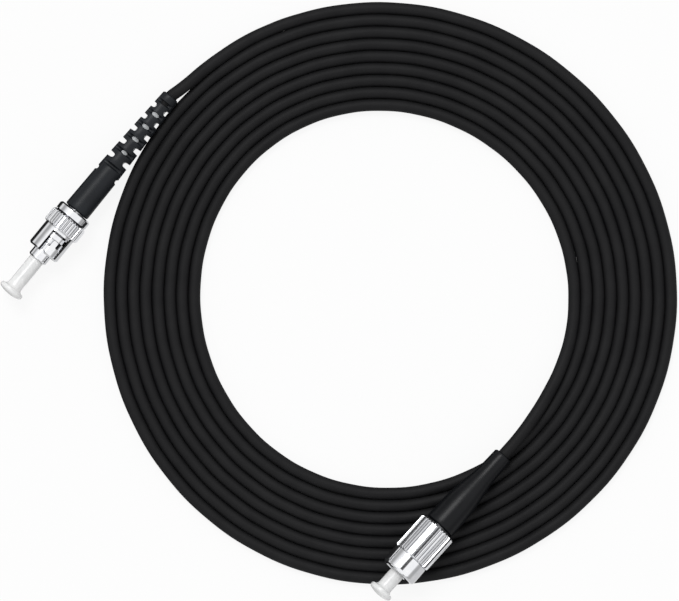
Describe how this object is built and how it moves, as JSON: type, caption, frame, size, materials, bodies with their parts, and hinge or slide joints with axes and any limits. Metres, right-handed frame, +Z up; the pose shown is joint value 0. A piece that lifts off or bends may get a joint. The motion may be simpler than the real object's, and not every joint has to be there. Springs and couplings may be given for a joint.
{
  "type": "st fibre connector",
  "caption": "Bayonet fibre connector with dust cap and flexible boot, on a coiled round cord that ends in a screw-coupled connector.",
  "frame": {"origin": "bottom centre of the bayonet connector's box, on the table that it lies on", "axes": "+X along the bayonet connector in plan, from its dust cap to the tip of its boot; +Z up from the table"},
  "size_m": [0.1431, 0.1501, 0.0143],
  "materials": {
    "cap_plastic": "translucent moulded",
    "ceramic": "polished",
    "plated_metal": "nickel plated",
    "buffer_plastic": "smooth",
    "spring_steel": "bright wire",
    "yarn": "fibre",
    "crimp_metal": "drawn",
    "inner_plastic": "smooth",
    "boot_rubber": "moulded",
    "jacket": "extruded"
  },
  "bodies": {
    "root": {"st_barrel": "plated_metal", "st_ferrule": "ceramic", "st_buffer": "buffer_plastic", "st_spring": "spring_steel", "st_retaining_ring": "spring_steel", "st_strain_yarn": "yarn", "st_crimp_sleeve": "crimp_metal", "st_inner_tube": "inner_plastic", "st_boot": "boot_rubber", "fc_frame": "plated_metal", "fc_back_post": "plated_metal", "fc_ferrule_spring": "spring_steel", "fc_strain_yarn": "yarn", "fc_crimp_sleeve": "crimp_metal", "fc_buffer": "buffer_plastic", "fc_boot": "boot_rubber", "cord_lead_st": "jacket", "cord_coil": "jacket", "cord_lead_fc": "jacket"},
    "st_nut_carriage": {"st_thrust_washer": "plated_metal"},
    "st_nut": {"st_coupling_nut": "plated_metal"},
    "st_cap": {"st_dust_cap": "cap_plastic"},
    "fc_ferrule_unit": {"fc_ferrule": "ceramic", "fc_ferrule_holder": "plated_metal"},
    "fc_nut_ring": {"fc_snap_ring": "spring_steel"},
    "fc_nut": {"fc_coupling_nut": "plated_metal"},
    "fc_cap": {"fc_dust_cap": "cap_plastic"}
  },
  "joints": [
    {"name": "st_nut_slide", "type": "slide", "parent": "root", "child": "st_nut_carriage", "axis": [-0.9993, 0, 0.0385], "range_m": [0, 0.0024], "stiffness_N_per_m": 300, "deforming": ["st_spring"]},
    {"name": "st_nut_turn", "type": "hinge", "parent": "st_nut_carriage", "child": "st_nut", "pos_m": [-0.00856, 0, 0.00506], "axis": [-0.9993, 0, 0.0385], "continuous": true},
    {"name": "st_cap_pull", "type": "slide", "parent": "root", "child": "st_cap", "axis": [-0.9993, 0, 0.0385], "range_m": [0, 0.014]},
    {"name": "fc_ferrule_float", "type": "slide", "parent": "root", "child": "fc_ferrule_unit", "axis": [0.9932, -0.0503, -0.105], "range_m": [0, 0.001], "stiffness_N_per_m": 200, "deforming": ["fc_ferrule_spring"]},
    {"name": "fc_nut_slide", "type": "slide", "parent": "root", "child": "fc_nut_ring", "axis": [-0.9932, 0.0503, 0.105], "range_m": [0, 0.0038]},
    {"name": "fc_nut_turn", "type": "hinge", "parent": "fc_nut_ring", "child": "fc_nut", "pos_m": [-0.01412, -0.11951, 0.00856], "axis": [-0.9932, 0.0503, 0.105], "continuous": true},
    {"name": "fc_cap_pull", "type": "slide", "parent": "root", "child": "fc_cap", "axis": [-0.9932, 0.0503, 0.105], "range_m": [0, 0.014]}
  ]
}
